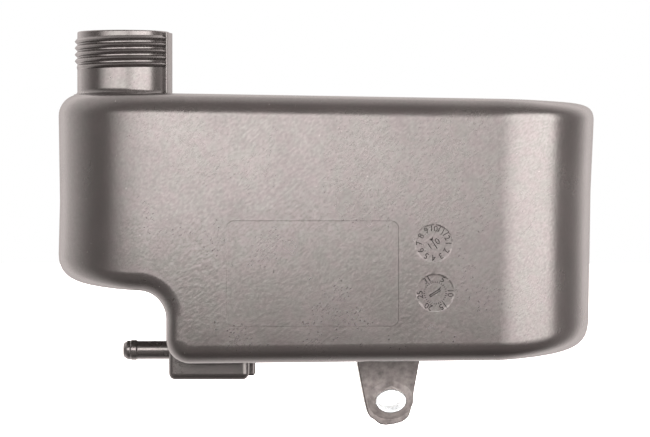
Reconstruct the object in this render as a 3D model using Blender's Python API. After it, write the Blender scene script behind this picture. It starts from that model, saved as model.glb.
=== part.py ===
"""Hydraulic reservoir: a blow-moulded tank with a threaded filler neck, a hose nipple, a lug
sleeve and a lift-out filler strainer. Metres, +Z up, the parting plane of the tank at Y = 0."""

import math

import bmesh
import bpy
from mathutils import Matrix, Vector

MM = 0.001
FIT_GAP = 0.3
WALL = 2.5

# Tank body. Its ends are upright half ellipses in plan about the lines X = TURN_X and X = RIGHT_X.
HALF_DEPTH = 46.0
TOP_Z = 61.05
LOBE_Z = -28.2
SUMP_Z = -60.9
STEP_X = -72.4
STEP_R = 12.0
LEFT_X = STEP_X - STEP_R
LEFT_REACH = 38.0
TURN_X = -65.0
RIGHT_X = 77.0
RIGHT_REACH = 45.4
EDGE_R = 10.0
UNDER_R = 8.5
SUMP_R = 11.0
POLE = 3.0
LEFT_WAIST_Z = 12.0
RIGHT_WAIST_Z = 18.0
TOP_BREAK_X = -130.0
TOP_SLOPE = -0.0168
TOP_EASE = 12.0
BOTTOM_BREAK_X = -62.0
BOTTOM_SLOPE = 0.0109
ARC_STEPS = 5
PLAN_STEPS = 8

# Filler neck and its thread.
NECK_X = -92.8
NECK_R = 21.1
RIM_Z = 89.5
NECK_BASE_Z = 60.3
NECK_ROOT_Z = 56.0
THREAD_PITCH = 3.0
THREAD_CREST_R = 22.3
THREAD_LOW_Z = 73.0
THREAD_TURNS = 4.6
THREAD_STEPS = 40
LAND_ANGLE = 25.6
BORE_R = 18.0
SEAT_R = 16.4
SEAT_Z = RIM_Z - 6.0

# Foot under the sump.
FOOT_LEFT_X = -71.3
FOOT_RIGHT_X = -35.0
FOOT_REAR_X = -32.6
FOOT_HALF_DEPTH = 20.0
FOOT_Z = -69.0
FOOT_REAR_Z = -68.0
FOOT_EDGE_R = 2.2

# Lug, drawn flat and then turned about the top of its root.
LUG_TOP_X = 28.8
LUG_TOP_Z = -60.2
LUG_THICK = 5.0
LUG_BOSS_THICK = 8.4
LUG_TILT = 13.0
LUG_YAW = 9.0
LUG_HOLE_DROP = 18.95
LUG_HOLE_OFFSET = 1.0
LUG_OUTLINE = (
    (14.2, 2.6), (13.9, 0.0), (11.9, -14.2), (11.5, -19.0), (10.9, -23.0), (10.4, -25.0),
    (9.4, -26.6), (8.0, -28.0), (6.6, -28.8), (3.0, -29.4), (-0.6, -29.49), (-3.0, -29.4),
    (-4.9, -28.8), (-6.3, -28.0), (-7.9, -27.1), (-8.8, -26.0), (-9.4, -24.6), (-10.7, -20.1),
    (-11.6, -15.4), (-14.3, -2.2), (-14.6, 2.6),
)
SLEEVE_LONG_R = 6.95
SLEEVE_SHORT_R = 5.3
SLEEVE_WALL = 0.8
SLEEVE_LENGTH = 9.2

# Outlet nipple.
NIPPLE_Z = -56.1
NIPPLE_TIP_X = -92.8
NIPPLE_STEM_R = 4.2
NIPPLE_BARB_R = 4.65
NIPPLE_BORE_R = 2.4

# Filler strainer.
BASKET_R = 15.4
BASKET_DEPTH = 46.0
STRAINER_RIBS = 6

# Marks on the front face.
PAD = (-6.1, -20.4, 76.6, 46.8)
DIAL_R = 8.5
DIALS = ((47.9, -6.9), (48.6, -29.0))
MARK_DEPTH = 0.25

PARTS = "hydraulic_reservoir"
CUTTERS = "cutters"


def clear_scene():
    for obj in list(bpy.data.objects):
        bpy.data.objects.remove(obj, do_unlink=True)
    for name in (PARTS, CUTTERS):
        found = bpy.data.collections.get(name)
        if found:
            bpy.data.collections.remove(found)
        made = bpy.data.collections.new(name)
        bpy.context.scene.collection.children.link(made)


def material(name, colour, roughness, metallic):
    mat = bpy.data.materials.new(name)
    mat.use_nodes = True
    shader = mat.node_tree.nodes["Principled BSDF"]
    shader.inputs["Base Color"].default_value = (*colour, 1.0)
    shader.inputs["Roughness"].default_value = roughness
    shader.inputs["Metallic"].default_value = metallic
    return mat


def new_object(name, bm, collection=CUTTERS):
    """An object from a bmesh drawn in millimetres, with its normals facing out."""
    bmesh.ops.recalc_face_normals(bm, faces=bm.faces)
    bmesh.ops.triangulate(bm, faces=bm.faces)
    bm.transform(Matrix.Scale(MM, 4))
    mesh = bpy.data.meshes.new(name)
    bm.to_mesh(mesh)
    bm.free()
    obj = bpy.data.objects.new(name, mesh)
    bpy.data.collections[collection].objects.link(obj)
    if collection == CUTTERS:
        obj.hide_render = True
        obj.display_type = "WIRE"
    return obj


def finish(obj, mat, sharp_angle=35.0):
    obj.data.materials.append(mat)
    for face in obj.data.polygons:
        face.use_smooth = True
    obj.data.set_sharp_from_angle(angle=math.radians(sharp_angle))


def combine(target, other, operation):
    """Adds a Boolean to the target that unites it with the other object or cuts it away."""
    change = target.modifiers.new(f"{operation.lower()}_{other.name}", "BOOLEAN")
    change.operation = operation
    change.solver = "EXACT"
    change.object = other


def bake(obj):
    """Replaces the mesh of an object by its evaluated mesh, so its modifiers are spent."""
    graph = bpy.context.evaluated_depsgraph_get()
    made = bpy.data.meshes.new_from_object(obj.evaluated_get(graph))
    obj.modifiers.clear()
    obj.data = made


class Skin:
    """A closed surface gathered face by face. Corners that coincide become one vertex."""

    def __init__(self):
        self.bm = bmesh.new()
        self.known = {}

    def vert(self, point):
        key = tuple(round(c, 4) for c in point)
        if key not in self.known:
            self.known[key] = self.bm.verts.new(point)
        return self.known[key]

    def face(self, points):
        ring = []
        for point in points:
            vert = self.vert(point)
            if vert not in ring:
                ring.append(vert)
        if len(ring) > 2:
            self.bm.faces.new(ring)

    def strip(self, first, second):
        for k in range(len(first) - 1):
            self.face((first[k], first[k + 1], second[k + 1], second[k]))


def arc(centre, radius, start, end, steps):
    """Points on an arc in a plane, from the start angle to the end angle in degrees."""
    points = []
    for k in range(steps + 1):
        angle = math.radians(start + (end - start) * k / steps)
        points.append((centre[0] + radius * math.cos(angle), centre[1] + radius * math.sin(angle)))
    return points


def bezier(a, b, c, d, steps):
    points = []
    for k in range(steps + 1):
        t = k / steps
        s = 1 - t
        weights = (s**3, 3 * s * s * t, 3 * s * t * t, t**3)
        points.append(tuple(sum(w * p[i] for w, p in zip(weights, (a, b, c, d))) for i in (0, 1)))
    return points


def turned_in(x):
    """The share of its depth the body keeps at x, so that its left end turns in early and gently."""
    left_x = LEFT_X - LEFT_REACH
    reach = TURN_X - left_x
    if x >= TURN_X:
        return 1.0
    if x >= LEFT_X:
        return math.sqrt(1 - ((TURN_X - x) / reach) ** 2)
    along = max(x - left_x, 0)
    return math.sqrt((2 * reach - along) / (2 * LEFT_REACH - along)) * LEFT_REACH / reach


def settle(point):
    """Turns the left end in and slopes the top and bottom of the upright body the way the tank does."""
    x, y, z = point
    y *= turned_in(x)
    up = min(max(z / 50, 0), 1)
    down = min(max(-z / 45, 0), 1)
    past = max(x - TOP_BREAK_X, 0)
    z += up * TOP_SLOPE * past**2 / (past + TOP_EASE)
    z += down * BOTTOM_SLOPE * max(x - BOTTOM_BREAK_X, 0)
    return (x, y, z)


def front_profile(waist_z, foot_z, inset):
    """(outward, height) points down the front of the body, at either end of its flat face."""
    r = EDGE_R - inset
    under = UNDER_R - inset
    half = HALF_DEPTH - inset
    points = arc((half - r, TOP_Z - inset - r), r, 90, 0, ARC_STEPS)
    points += [(half, waist_z)]
    points += arc((half - under, foot_z + inset + under), under, 0, -90, ARC_STEPS)
    return points


def end_patch(skin, axis_x, way, side, front):
    """One rounded end of the body, front half: a plan half ellipse that blends the two profiles."""
    rings = []
    for k in range(PLAN_STEPS + 1):
        turn = math.radians(90 * k / PLAN_STEPS)
        along = math.cos(turn)
        across = math.sin(turn)
        ring = []
        for (reach, z_side), (depth, z_front) in zip(side, front):
            z = z_side * along**2 + z_front * across**2
            ring.append((axis_x + way * reach * along, -depth * across, z))
        rings.append(ring)
    for k in range(PLAN_STEPS):
        skin.strip(rings[k], rings[k + 1])
    for level in (0, -1):
        skin.face([ring[level] for ring in rings] + [(axis_x, 0, front[level][1])])
    return rings[-1]


def body_half(inset):
    """The front half of the tank body, moved inward by the inset, as lists of face corners."""
    r = EDGE_R - inset
    under = UNDER_R - inset
    half = HALF_DEPTH - inset
    top = TOP_Z - inset
    lobe = LOBE_Z + inset
    sump = SUMP_Z + inset
    skin = Skin()

    wall = LEFT_REACH - inset
    side = arc((wall - r, top - r), r, 90, 0, ARC_STEPS)
    side += [(wall - 0.6, LEFT_WAIST_Z)]
    side += bezier(
        (wall, -12 + inset / 2), (wall, lobe + 4.2), (28.9 - inset / 2, lobe + 1.2), (POLE, lobe),
        ARC_STEPS,
    )
    left_edge = end_patch(skin, LEFT_X, -1, side, front_profile(LEFT_WAIST_Z, LOBE_Z, inset))

    wall = RIGHT_REACH - inset
    side = bezier((20, top), (41, top), (wall + 0.8, top - 0.2), (wall, top - 9.5), ARC_STEPS)
    side += [(wall - 1.4, RIGHT_WAIST_Z)]
    side += bezier(
        (wall - 2.3, -42 + inset / 2), (wall - 2.0, sump + 4.3), (36.5 - inset, sump + 0.8),
        (POLE, sump), ARC_STEPS,
    )
    right_edge = end_patch(skin, RIGHT_X, 1, side, front_profile(RIGHT_WAIST_Z, SUMP_Z, inset))

    def band(outer, inner, radius):
        """The edge between the parting plane and the front face, along matching outlines."""
        rows = []
        for (ox, oz), (ix, iz) in zip(outer, inner):
            row = [(ox, 0, oz)]
            for k in range(ARC_STEPS + 1):
                turn = math.radians(90 * k / ARC_STEPS)
                out = math.cos(turn)
                depth = half - radius + radius * math.sin(turn)
                row.append((ix + (ox - ix) * out, -depth, iz + (oz - iz) * out))
            rows.append(row)
        for k in range(len(rows) - 1):
            skin.strip(rows[k], rows[k + 1])
        return [row[-1] for row in rows]

    step = (LEFT_X, LOBE_Z - STEP_R)
    stations = [x for x, _ in arc(step, STEP_R + UNDER_R, 90, 0, ARC_STEPS)] + [RIGHT_X]
    top_edge = band([(x, top) for x in stations], [(x, top - r) for x in stations], r)
    corner = (STEP_X + SUMP_R, SUMP_Z + SUMP_R)
    outer = arc(step, STEP_R + inset, 90, 0, ARC_STEPS)
    outer += arc(corner, SUMP_R - inset, 180, 270, ARC_STEPS)
    outer += [(RIGHT_X, sump)]
    inner = arc(step, STEP_R + inset + under, 90, 0, ARC_STEPS)
    inner += arc(corner, SUMP_R - inset - under, 180, 270, ARC_STEPS)
    inner += [(RIGHT_X, sump + under)]
    bottom_edge = band(outer, inner, under)

    waist = ARC_STEPS + 1
    for k in range(ARC_STEPS):
        corners = [top_edge[k], top_edge[k + 1], bottom_edge[k + 1], bottom_edge[k]]
        skin.face(corners if k else corners + [left_edge[waist]])
    front_bottom = bottom_edge[ARC_STEPS:]
    skin.face(top_edge[ARC_STEPS:] + [right_edge[waist]] + front_bottom[::-1])
    return [[tuple(vert.co) for vert in face.verts] for face in skin.bm.faces]


def body_solid(name, inset):
    """The closed tank body: the front half and its mirror image behind the parting plane."""
    skin = Skin()
    for face in body_half(inset):
        corners = [settle(point) for point in face]
        skin.face(corners)
        skin.face([(x, -y, z) for x, y, z in corners])
    return new_object(name, skin.bm)


def ring_solid(name, profile, steps, centre=(0.0, 0.0)):
    """A turned solid about a vertical line, from a closed (radius, height) outline."""
    skin = Skin()
    rings = []
    for k in range(steps):
        turn = 2 * math.pi * k / steps
        cos, sin = math.cos(turn), math.sin(turn)
        rings.append([(centre[0] + r * cos, centre[1] + r * sin, z) for r, z in profile])
    for k in range(steps):
        a = rings[k]
        b = rings[(k + 1) % steps]
        skin.strip(a + a[:1], b + b[:1])
    return new_object(name, skin.bm)


def turned(name, outline, steps):
    """A solid of revolution about Z from an outline that starts and ends on the axis."""
    skin = Skin()
    for k in range(steps):
        pair = []
        for turn in (2 * math.pi * (k + 0.5) / steps, 2 * math.pi * (k + 1.5) / steps):
            pair.append([(r * math.cos(turn), r * math.sin(turn), z) for r, z in outline])
        skin.strip(*pair)
    return new_object(name, skin.bm)


def box(name, low, high, edge=0.0, segments=2):
    bm = bmesh.new()
    size = Vector(high) - Vector(low)
    middle = (Vector(high) + Vector(low)) / 2
    placed = Matrix.Translation(middle) @ Matrix.Diagonal((*size, 1.0))
    bmesh.ops.create_cube(bm, size=1.0, matrix=placed)
    if edge:
        bmesh.ops.bevel(
            bm, geom=bm.edges, offset=edge, segments=segments, profile=0.5, affect="EDGES"
        )
    return new_object(name, bm)


def prism(name, outline, low_y, high_y):
    """An (x, z) outline carried along Y."""
    skin = Skin()
    front = [(x, low_y, z) for x, z in outline]
    back = [(x, high_y, z) for x, z in outline]
    skin.strip(front + front[:1], back + back[:1])
    skin.face(front)
    skin.face(back)
    return new_object(name, skin.bm)


def rounded_rectangle(centre_x, centre_z, width, height, radius, steps=3):
    points = []
    for start, sx, sz in ((0, 1, 1), (90, -1, 1), (180, -1, -1), (270, 1, -1)):
        centre = (centre_x + sx * (width / 2 - radius), centre_z + sz * (height / 2 - radius))
        points += arc(centre, radius, start, start + 90, steps)
    return points


def slot_outline(centre, long_r, short_r, steps=32):
    """An ellipse-like hole, wider across than it is high."""
    points = []
    for k in range(steps):
        turn = 2 * math.pi * k / steps
        points.append((centre[0] + long_r * math.cos(turn), centre[1] + short_r * math.sin(turn)))
    return points


def neck_solid():
    """The neck cylinder with a flare where it meets the tank."""
    outline = [
        (0.0, RIM_Z),
        (NECK_R - 0.3, RIM_Z),
        (NECK_R, RIM_Z - 0.3),
        (NECK_R, NECK_BASE_Z + 2.6),
        (NECK_R + 0.7, NECK_BASE_Z + 1.0),
        (NECK_R + 2.6, NECK_BASE_Z - 0.4),
        (NECK_R + 2.6, NECK_ROOT_Z),
        (0.0, NECK_ROOT_Z),
    ]
    neck = turned("neck", outline, 48)
    neck.location.x = NECK_X * MM
    return neck


def thread_solid():
    """The thread ridge: a tapered start and finish, and a rounded V between."""
    skin = Skin()
    total = round(THREAD_TURNS * THREAD_STEPS)
    loops = []
    for k in range(total + 1):
        turn = 2 * math.pi * k / THREAD_STEPS + math.pi
        fade = min(1.0, (k + 1) / 6, (total - k + 1) / 6)
        crest = NECK_R - 0.2 + (THREAD_CREST_R - NECK_R + 0.2) * fade
        z = THREAD_LOW_Z + THREAD_PITCH * k / THREAD_STEPS
        section = (
            (NECK_R - 0.4, 1.25),
            (crest - 0.15, 0.28),
            (crest, 0.0),
            (crest - 0.15, -0.28),
            (NECK_R - 0.4, -1.25),
        )
        cos, sin = math.cos(turn), math.sin(turn)
        loops.append([(r * cos, r * sin, z + dz) for r, dz in section])
    for k in range(total):
        skin.strip(loops[k] + loops[k][:1], loops[k + 1] + loops[k + 1][:1])
    skin.face(loops[0])
    skin.face(loops[-1])
    thread = new_object("thread", skin.bm)
    thread.location.x = NECK_X * MM
    return thread


def land_solid():
    """The smooth land that interrupts the thread over the parting line."""
    low = NECK_BASE_Z - 1.0
    high = RIM_Z - 0.6
    outer = arc((NECK_X, 0), THREAD_CREST_R + 0.1, -LAND_ANGLE, LAND_ANGLE, 7)
    inner = arc((NECK_X, 0), NECK_R - 1.0, LAND_ANGLE, -LAND_ANGLE, 7)
    skin = Skin()
    bottom = [(x, y, low) for x, y in outer + inner]
    top = [(x, y, high) for x, y in outer + inner]
    skin.strip(bottom + bottom[:1], top + top[:1])
    skin.face(bottom)
    skin.face(top)
    return new_object("land", skin.bm)


def lug_frame():
    """Where the lug stands: its flat drawing has X across, Z down from its root, Y through."""
    return (
        Matrix.Translation(Vector((LUG_TOP_X, 0, LUG_TOP_Z)) * MM)
        @ Matrix.Rotation(math.radians(LUG_YAW), 4, "Z")
        @ Matrix.Rotation(math.radians(LUG_TILT), 4, "X")
    )


def lug_solids():
    """The lug plate, the thicker boss round its hole, and the hole."""
    half = LUG_THICK / 2
    hole = (LUG_HOLE_OFFSET, -LUG_HOLE_DROP)
    plate = prism("lug_plate", LUG_OUTLINE, -half, half)
    boss_half = LUG_BOSS_THICK / 2
    boss = prism("lug_boss", slot_outline(hole, 9.3, 8.0, 24), -boss_half, boss_half)
    long_r = SLEEVE_LONG_R + FIT_GAP
    short_r = SLEEVE_SHORT_R + FIT_GAP
    cut = prism("lug_hole", slot_outline(hole, long_r, short_r), -10, 10)
    for piece in (plate, boss, cut):
        piece.matrix_world = lug_frame()
    return plate, boss, cut


def make_tank(mat):
    tank = body_solid("tank_shell", 0.0)
    bpy.data.collections[CUTTERS].objects.unlink(tank)
    bpy.data.collections[PARTS].objects.link(tank)
    tank.hide_render = False
    tank.display_type = "TEXTURED"

    foot = box(
        "foot",
        (FOOT_LEFT_X, -FOOT_HALF_DEPTH, FOOT_Z),
        (FOOT_RIGHT_X, FOOT_HALF_DEPTH, SUMP_Z + 14),
        FOOT_EDGE_R,
    )
    foot_rear = box(
        "foot_rear",
        (FOOT_LEFT_X + 6, 2.0, FOOT_REAR_Z),
        (FOOT_REAR_X, FOOT_HALF_DEPTH - 1, SUMP_Z + 10),
        FOOT_EDGE_R / 2,
    )
    plate, boss, lug_hole = lug_solids()
    for added in (foot, foot_rear, plate, boss, neck_solid(), thread_solid(), land_solid()):
        combine(tank, added, "UNION")

    marks = [("label_pad", rounded_rectangle(*PAD, 3.2))]
    for k, centre in enumerate(DIALS):
        marks.append((f"dial_{k + 1}", slot_outline(centre, DIAL_R, DIAL_R, 36)))
    for name, outline in marks:
        mark = prism(name, outline, -HALF_DEPTH - 1, -HALF_DEPTH + MARK_DEPTH)
        combine(tank, mark, "DIFFERENCE")

    cavity = body_solid("cavity", WALL)
    bore = turned(
        "neck_bore",
        [
            (0.0, RIM_Z + 1), (BORE_R, RIM_Z + 1), (BORE_R, SEAT_Z), (SEAT_R, SEAT_Z),
            (SEAT_R, NECK_BASE_Z - 5), (0.0, NECK_BASE_Z - 5),
        ],
        44,
    )
    bore.location.x = NECK_X * MM
    foot_pocket = box(
        "foot_pocket",
        (FOOT_LEFT_X + WALL, -FOOT_HALF_DEPTH + WALL, FOOT_Z + WALL),
        (FOOT_RIGHT_X - WALL, FOOT_HALF_DEPTH - WALL, SUMP_Z + 13),
    )
    outlet = turned(
        "outlet_hole",
        [(0.0, 6.0), (NIPPLE_STEM_R + FIT_GAP, 6.0), (NIPPLE_STEM_R + FIT_GAP, -6.0), (0.0, -6.0)],
        28,
    )
    outlet.rotation_euler.y = math.radians(-90)
    outlet.location = Vector((FOOT_LEFT_X, 0, NIPPLE_Z)) * MM
    for cut in (cavity, bore, foot_pocket, outlet, lug_hole):
        combine(tank, cut, "DIFFERENCE")
    bake(tank)
    finish(tank, mat)


def make_part(obj, name, mat, sharp_angle=35.0):
    """Moves a finished cutter-side solid into the parts collection under its own name."""
    bpy.data.collections[CUTTERS].objects.unlink(obj)
    bpy.data.collections[PARTS].objects.link(obj)
    obj.name = name
    obj.data.name = name
    obj.hide_render = False
    obj.display_type = "TEXTURED"
    finish(obj, mat, sharp_angle)
    return obj


def make_nipple(mat):
    """The hose nipple, turned about its own axis, which then points along -X."""
    wall_x = FOOT_LEFT_X
    inside_x = FOOT_LEFT_X + WALL + FIT_GAP
    reach = wall_x - NIPPLE_TIP_X
    flange = inside_x - wall_x
    barb_end = reach - 6.8
    profile = [
        (NIPPLE_BORE_R, reach),
        (NIPPLE_STEM_R - 0.8, reach),
        (NIPPLE_BARB_R - 0.55, reach - 1.3),
        (NIPPLE_BARB_R - 0.1, reach - 2.2),
        (NIPPLE_BARB_R, reach - 2.8),
        (NIPPLE_BARB_R, barb_end + 0.6),
        (NIPPLE_STEM_R, barb_end),
        (NIPPLE_STEM_R, -flange),
        (6.3, -flange),
        (6.3, -flange - 1.8),
        (NIPPLE_BORE_R, -flange - 1.8),
    ]
    nipple = make_part(ring_solid("nipple_blank", profile, 32), "outlet_nipple", mat)
    nipple.rotation_euler.y = math.radians(-90)
    nipple.location = Vector((wall_x, 0, NIPPLE_Z)) * MM


def make_sleeve(mat):
    """The oval sleeve in the lug, with a small roll at each mouth."""
    half = SLEEVE_LENGTH / 2
    skin = Skin()
    stations = ((-half, 0.25), (-half + 0.3, 0.0), (half - 0.3, 0.0), (half, 0.25))
    outer_rows = []
    inner_rows = []
    for y, chamfer in stations:
        outer = slot_outline((0, 0), SLEEVE_LONG_R - chamfer, SLEEVE_SHORT_R - chamfer)
        inner_long = SLEEVE_LONG_R - SLEEVE_WALL
        inner_short = SLEEVE_SHORT_R - SLEEVE_WALL
        inner = slot_outline((0, 0), inner_long + chamfer / 2, inner_short + chamfer / 2)
        outer_rows.append([(x, y, z) for x, z in outer])
        inner_rows.append([(x, y, z) for x, z in inner])
    rows = outer_rows + inner_rows[::-1]
    for k in range(len(rows)):
        a = rows[k]
        b = rows[(k + 1) % len(rows)]
        skin.strip(a + a[:1], b + b[:1])
    sleeve = make_part(new_object("sleeve_blank", skin.bm), "lug_sleeve", mat)
    hole = Vector((LUG_HOLE_OFFSET, 0, -LUG_HOLE_DROP)) * MM
    sleeve.matrix_world = lug_frame() @ Matrix.Translation(hole)


def make_strainer(frame_mat, mesh_mat):
    """The lift-out strainer: a flanged cage of ribs and, inside it, the fine mesh."""
    hub = bpy.data.objects.new("strainer_axis", None)
    bpy.data.collections[PARTS].objects.link(hub)
    hub.location = Vector((NECK_X, 0, SEAT_Z + FIT_GAP)) * MM

    rib_inner = BASKET_R - 1.5
    flange = ring_solid(
        "strainer_flange",
        [(rib_inner - 0.6, 0.0), (BORE_R - 0.5, 0.0), (BORE_R - 0.5, 1.6), (rib_inner - 0.6, 1.6)],
        40,
    )
    base = ring_solid(
        "strainer_base",
        [
            (5.0, -BASKET_DEPTH), (BASKET_R, -BASKET_DEPTH), (BASKET_R, -BASKET_DEPTH + 1.8),
            (5.0, -BASKET_DEPTH + 1.8),
        ],
        40,
    )
    combine(flange, base, "UNION")
    for k in range(STRAINER_RIBS):
        rib = box(
            f"strainer_rib_{k + 1}",
            (rib_inner, -1.1, -BASKET_DEPTH + 0.4),
            (BASKET_R - 0.15, 1.1, 1.0),
        )
        rib.rotation_euler.z = 2 * math.pi * k / STRAINER_RIBS
        combine(flange, rib, "UNION")
    bpy.context.view_layer.update()
    bake(flange)
    frame = make_part(flange, "strainer_frame", frame_mat)
    frame.parent = hub

    outer = rib_inner - FIT_GAP
    mesh_low = -BASKET_DEPTH + 1.8 + FIT_GAP
    sleeve = ring_solid(
        "strainer_screen",
        [(outer - 0.5, mesh_low), (outer, mesh_low), (outer, -FIT_GAP), (outer - 0.5, -FIT_GAP)],
        40,
    )
    screen = make_part(sleeve, "strainer_mesh", mesh_mat)
    screen.parent = hub


clear_scene()
tank_plastic = material("tank_plastic", (0.035, 0.033, 0.033), 0.42, 0.0)
nipple_plastic = material("nipple_plastic", (0.02, 0.02, 0.02), 0.22, 0.0)
sleeve_zinc = material("sleeve_zinc", (0.82, 0.84, 0.85), 0.28, 1.0)
strainer_plastic = material("strainer_plastic", (0.75, 0.74, 0.70), 0.45, 0.0)
strainer_gauze = material("strainer_gauze", (0.62, 0.60, 0.55), 0.5, 0.0)
bpy.context.view_layer.update()
make_tank(tank_plastic)
make_nipple(nipple_plastic)
make_sleeve(sleeve_zinc)
make_strainer(strainer_plastic, strainer_gauze)
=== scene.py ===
"""Looks of the hydraulic reservoir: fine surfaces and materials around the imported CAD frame.

Sizes are in millimetres and angles in degrees, except where a line says otherwise. X runs along the
tank, +Z is up, the front face looks to -Y, and the parting plane is Y = 0.
"""

import math

import bmesh
import bpy
from mathutils import Matrix, Vector


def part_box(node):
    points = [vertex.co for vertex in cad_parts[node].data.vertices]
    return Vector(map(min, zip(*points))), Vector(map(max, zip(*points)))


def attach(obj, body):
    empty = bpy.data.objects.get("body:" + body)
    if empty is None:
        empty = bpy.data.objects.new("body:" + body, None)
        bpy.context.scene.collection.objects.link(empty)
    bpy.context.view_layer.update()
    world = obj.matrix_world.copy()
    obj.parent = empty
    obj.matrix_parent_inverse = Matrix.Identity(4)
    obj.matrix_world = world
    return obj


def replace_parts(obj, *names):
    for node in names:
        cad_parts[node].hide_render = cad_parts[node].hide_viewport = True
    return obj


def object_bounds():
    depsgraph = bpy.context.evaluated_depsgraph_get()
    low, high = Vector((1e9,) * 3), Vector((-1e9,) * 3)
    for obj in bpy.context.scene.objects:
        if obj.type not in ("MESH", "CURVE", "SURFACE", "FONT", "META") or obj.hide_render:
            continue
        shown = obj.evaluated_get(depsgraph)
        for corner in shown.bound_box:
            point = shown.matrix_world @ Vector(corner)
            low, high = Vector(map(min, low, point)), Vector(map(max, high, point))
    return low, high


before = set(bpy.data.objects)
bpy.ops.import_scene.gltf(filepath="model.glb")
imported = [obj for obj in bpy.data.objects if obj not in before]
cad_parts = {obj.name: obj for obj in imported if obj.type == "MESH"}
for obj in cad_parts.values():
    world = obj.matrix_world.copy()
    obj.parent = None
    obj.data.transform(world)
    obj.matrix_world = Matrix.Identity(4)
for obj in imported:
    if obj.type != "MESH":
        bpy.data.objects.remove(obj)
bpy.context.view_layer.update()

MM = 0.001

# Tank body. The lobe is the underside of its left part, and the step is the hollow corner between
# the lobe and the deeper sump.
HALF_DEPTH = 46.0
WALL = 2.5
TOP_Z = 61.05
LOBE_Z = -28.2
SUMP_Z = -60.9
STEP_X = -71.7
STEP_R = 12.7
EDGE_R = 10.0
UNDER_R = 8.5
SUMP_R = 11.0

# Each end turns about an upright axis at its X, and reaches this far past it. Its upper stretch
# ends at a waist, which lies a little in from the full reach, and its lower stretch curves from
# LOW_Z to the flat disc of radius POLE under the axis.
LEFT_X = STEP_X - STEP_R
LEFT_REACH = 38.0
LEFT_WAIST_Z = 12.0
LEFT_WAIST_IN = 0.6
LEFT_LOW_Z = -12.0
LEFT_LOW_REACH = 28.9
RIGHT_X = 77.0
RIGHT_REACH = 45.4
RIGHT_TOP_REACH = 20.0
RIGHT_TOP_PULL = 41.0
RIGHT_TOP_DROP = 9.5
RIGHT_WAIST_Z = 18.0
RIGHT_WAIST_IN = 1.4
RIGHT_LOW_Z = -42.0
RIGHT_LOW_IN = 2.3
RIGHT_LOW_REACH = 36.5
POLE = 3.0

# Left of TURN_X the body turns in. Right of their breaks the top and the bottom slope, in full
# above TOP_FULL_Z and below BOTTOM_FULL_Z.
TURN_X = -65.0
TOP_BREAK_X = -130.0
TOP_SLOPE = -0.0168
TOP_EASE = 12.0
TOP_FULL_Z = 50.0
BOTTOM_BREAK_X = -62.0
BOTTOM_SLOPE = 0.0109
BOTTOM_FULL_Z = -45.0

# How many steps a curve takes: a quarter arc, an end in plan, the top and a full turn.
ARC_STEPS = 12
PLAN_STEPS = 26
TOP_STEPS = 18
TURN_STEPS = 96

# Neck. HIDDEN_R lies inside the tube's wall, and NECK_LOW_Z just under the tank's top wall. The
# hole through that wall is cut between HOLE_TOP_Z and HOLE_LOW_Z.
NECK_BASE_Z = 60.3
NECK_LOW_Z = 55.0
NECK_X = -92.8
NECK_R = 21.1
HIDDEN_R = NECK_R - 1.0
HOLE_R = NECK_R - 1.5
HOLE_TOP_Z = 75.0
HOLE_LOW_Z = 45.0
RIM_Z = 89.5
BORE_R = 18.0
SEAT_R = 16.4
SEAT_Z = RIM_Z - 6.0
RING_Z = 67.45
THREAD_PITCH = 3.0
THREAD_CREST_R = 22.3
THREAD_LOW_Z = 73.0
THREAD_TURNS = 4.6
THREAD_HALF_WIDTH = 1.30
THREAD_BLUNTING = 0.12
THREAD_FADE_STEPS = 10
LAND_ANGLE = 25.6

# Lug, in its own frame: X across it, Y through its plate, and Z up, from the middle of its top.
LUG_TOP_X = 28.8
LUG_TOP_Z = -60.2
LUG_THICK = 5.0
LUG_CHAMFER = 0.3
LUG_TILT = 13.0
LUG_YAW = 9.0
LUG_HOLE = (1.0, -18.95)
LUG_OUTLINE = (
    (14.2, 2.6), (13.9, 0.0), (11.9, -14.2), (11.5, -19.0), (10.9, -23.0), (10.4, -25.0),
    (9.8, -26.8), (8.4, -28.3), (6.8, -29.4), (3.0, -30.4), (-0.6, -30.8), (-3.0, -30.5),
    (-4.9, -29.3), (-6.3, -28.1), (-7.9, -27.1), (-8.8, -26.0), (-9.4, -24.6), (-10.7, -20.1),
    (-11.8, -15.4), (-14.7, -2.2), (-15.0, 2.6),
)
SLEEVE_R = (6.95, 5.3)
SLEEVE_WALL = 0.8
SLEEVE_LENGTH = 9.2
SLEEVE_GAP = 0.3

# Steps of the boss round the lug's hole: distance from the plate's middle, how far it stands out
# round the sleeve, and the height of the cusp at its top.
BOSS_STEPS = (
    (4.2, 0.45, 0.9), (4.1, 0.75, 1.1), (3.85, 1.1, 1.2), (3.3, 1.9, 0.8), (2.8, 2.8, 0.3),
    (2.55, 3.6, 0.0), (2.3, 3.8, 0.0),
)
CUSP_SPREAD = 0.16

# Foot under the sump: a front block, and a slightly shallower one behind it that reaches further.
FOOT_X = -71.3
FOOT_RIGHT_X = -35.0
FOOT_HALF_DEPTH = 20.0
FOOT_Z = -69.0
FOOT_TOP_Z = -47.0
FOOT_EDGE_R = 3.0
FOOT_REAR_X = -32.6
FOOT_REAR_Y = 2.0
FOOT_REAR_Z = -68.0
FOOT_REAR_TOP_Z = -51.0
FOOT_REAR_EDGE_R = 1.1

# Hose nipple, set into the foot's left wall.
NIPPLE_Z = -56.1
NIPPLE_TIP_X = -92.8
NIPPLE_BORE_R = 2.4
NIPPLE_STEM_R = 4.2
NIPPLE_BARB_R = 4.65
NIPPLE_FLANGE_R = 6.3

# Marks on the front face. The pad is a centre (x, z), a width and a height.
PAD = (-6.1, -20.4, 76.6, 46.8)
PAD_DEPTH = 0.12
PAD_GRAIN = 0.7
DIAL_R = 8.5
DIALS = ((47.9, -6.9), (48.6, -29.0))
POINTER_ANGLE = -33
PIT = (53.8, -15.1)
PIT_R = 0.65
MARK_DEPTH = 0.25

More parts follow.
